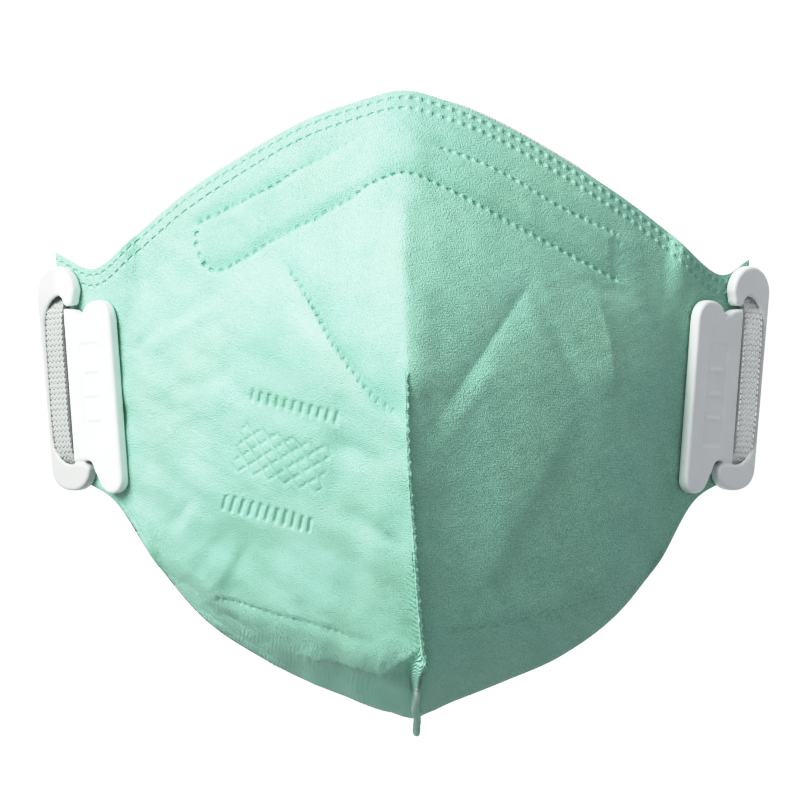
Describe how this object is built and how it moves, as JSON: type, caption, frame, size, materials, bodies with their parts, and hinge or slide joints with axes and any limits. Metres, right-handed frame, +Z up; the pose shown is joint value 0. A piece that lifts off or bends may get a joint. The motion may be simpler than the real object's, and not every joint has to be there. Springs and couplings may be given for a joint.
{
  "type": "flat-fold disposable respirator",
  "caption": "Flat-fold disposable respirator, opened out: nonwoven cup with a centre fold and welded chin fin, moulded strap buckles on side tabs, elastic head straps.",
  "frame": {"origin": "middle of the outline in plan, on the surface that the two buckles rest on", "axes": "+Z up and away from the wearer's face, +Y towards the nose edge, +X towards the right-hand buckle as seen from the front"},
  "size_m": [0.164, 0.1421, 0.0637],
  "materials": {
    "green_nonwoven": "matt mint-green spunbond nonwoven",
    "white_nonwoven": "matt white nonwoven",
    "buckle_plastic": "white moulded plastic with a soft sheen",
    "knitted_elastic": "white knitted elastic"
  },
  "bodies": {
    "root": {"outer_shell": "green_nonwoven", "inner_lining": "white_nonwoven", "buckle_left": "buckle_plastic", "buckle_right": "buckle_plastic", "channel_elastic_left": "knitted_elastic", "channel_elastic_right": "knitted_elastic", "upper_strap": "knitted_elastic", "lower_strap": "knitted_elastic"}
  },
  "joints": []
}
